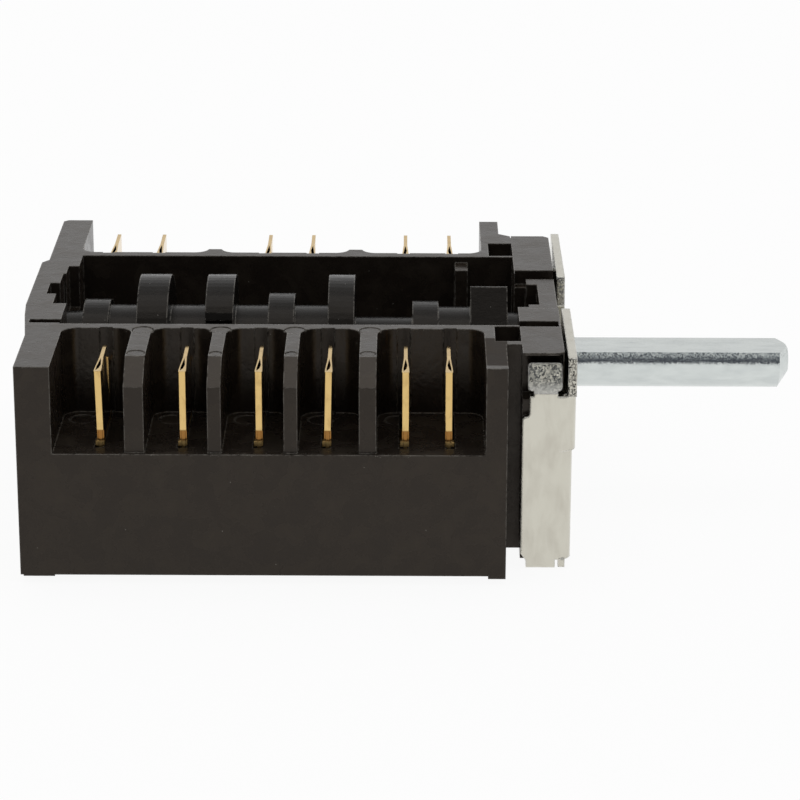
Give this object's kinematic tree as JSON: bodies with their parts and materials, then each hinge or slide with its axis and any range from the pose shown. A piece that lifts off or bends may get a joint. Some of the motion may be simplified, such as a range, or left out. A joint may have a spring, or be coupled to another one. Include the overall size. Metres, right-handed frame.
{
  "type": "oven selector switch",
  "caption": "Cam-type oven selector switch: open-topped black moulded body with a cam drum, two rows of folded blade terminals, a plated mounting bracket and a D-shaft.",
  "frame": {"origin": "on the shaft axis, at the outer face of the mounting bracket", "axes": "+X out along the shaft, +Z towards the open top with the terminals, +Y towards the row of three blade pairs"},
  "size_m": [0.0818, 0.0542, 0.0246],
  "materials": {
    "black_moulding": "fine matt moulded thermoset",
    "drum_plastic": "matt moulded, glass-filled",
    "zinc_plated_steel": "dull zinc plate",
    "shaft_steel": "ground and zinc plated",
    "terminal_brass": "stamped sheet, slightly dulled",
    "spring_bronze": "rolled",
    "contact_silver": "silver alloy, matt",
    "natural_nylon": "semi-gloss",
    "spring_steel": "rolled"
  },
  "bodies": {
    "body": {"housing": "black_moulding", "base_cover": "black_moulding", "mounting_bracket": "zinc_plated_steel", "front_terminal_1": "terminal_brass", "front_terminal_2": "terminal_brass", "front_terminal_3": "terminal_brass", "front_terminal_4": "terminal_brass", "front_terminal_5": "terminal_brass", "front_terminal_6": "terminal_brass", "rear_terminal_1": "terminal_brass", "rear_terminal_2": "terminal_brass", "rear_terminal_3": "terminal_brass", "rear_terminal_4": "terminal_brass", "rear_terminal_5": "terminal_brass", "rear_terminal_6": "terminal_brass", "fixed_contact_1": "contact_silver", "fixed_contact_2": "contact_silver", "fixed_contact_3": "contact_silver", "fixed_contact_4": "contact_silver", "fixed_contact_5": "contact_silver", "fixed_contact_6": "contact_silver", "lever_pin": "shaft_steel", "detent_spring": "spring_steel"},
    "drum": {"cam_drum": "drum_plastic", "shaft": "shaft_steel"},
    "contact_arm_1": {"contact_spring_1": "spring_bronze", "follower_1": "natural_nylon", "moving_contact_1": "contact_silver"},
    "contact_arm_2": {"contact_spring_2": "spring_bronze", "follower_2": "natural_nylon", "moving_contact_2": "contact_silver"},
    "contact_arm_3": {"contact_spring_3": "spring_bronze", "follower_3": "natural_nylon", "moving_contact_3": "contact_silver"},
    "contact_arm_4": {"contact_spring_4": "spring_bronze", "follower_4": "natural_nylon", "moving_contact_4": "contact_silver"},
    "contact_arm_5": {"contact_spring_5": "spring_bronze", "follower_5": "natural_nylon", "moving_contact_5": "contact_silver"},
    "contact_arm_6": {"contact_spring_6": "spring_bronze", "follower_6": "natural_nylon", "moving_contact_6": "contact_silver"},
    "lever": {"detent_lever": "spring_steel", "roller_pin": "shaft_steel"},
    "roller": {"detent_roller": "natural_nylon"}
  },
  "joints": [
    {"name": "drum_turn", "type": "hinge", "parent": "body", "child": "drum", "pos_m": [0, 0, 0], "axis": [1, 0, 0], "range_deg": [0, 270]},
    {"name": "contact_1_lift", "type": "hinge", "parent": "body", "child": "contact_arm_1", "pos_m": [-0.04855, -0.01105, -0.0036], "axis": [0, 0, 1], "range_deg": [0, 12], "stiffness_Nm_per_rad": 0.03},
    {"name": "contact_2_lift", "type": "hinge", "parent": "body", "child": "contact_arm_2", "pos_m": [-0.03245, -0.01105, -0.0036], "axis": [0, 0, 1], "range_deg": [-12, 0], "stiffness_Nm_per_rad": 0.03},
    {"name": "contact_3_lift", "type": "hinge", "parent": "body", "child": "contact_arm_3", "pos_m": [-0.0176, -0.01105, -0.0036], "axis": [0, 0, 1], "range_deg": [-12, 0], "stiffness_Nm_per_rad": 0.03},
    {"name": "contact_4_lift", "type": "hinge", "parent": "body", "child": "contact_arm_4", "pos_m": [-0.04515, 0.01105, -0.0036], "axis": [0, 0, 1], "range_deg": [0, 12], "stiffness_Nm_per_rad": 0.03},
    {"name": "contact_5_lift", "type": "hinge", "parent": "body", "child": "contact_arm_5", "pos_m": [-0.0279, 0.01105, -0.0036], "axis": [0, 0, 1], "range_deg": [0, 12], "stiffness_Nm_per_rad": 0.03},
    {"name": "contact_6_lift", "type": "hinge", "parent": "body", "child": "contact_arm_6", "pos_m": [-0.01232, 0.01105, -0.0036], "axis": [0, 0, 1], "range_deg": [0, 12], "stiffness_Nm_per_rad": 0.03},
    {"name": "detent_swing", "type": "hinge", "parent": "body", "child": "lever", "pos_m": [-0.0085, 0.01119, -0.00327], "axis": [1, 0, 0], "range_deg": [-24, 0], "stiffness_Nm_per_rad": 0.05},
    {"name": "roller_spin", "type": "hinge", "parent": "lever", "child": "roller", "pos_m": [-0.0085, 0.00723, -0.00723], "axis": [1, 0, 0], "continuous": true}
  ]
}
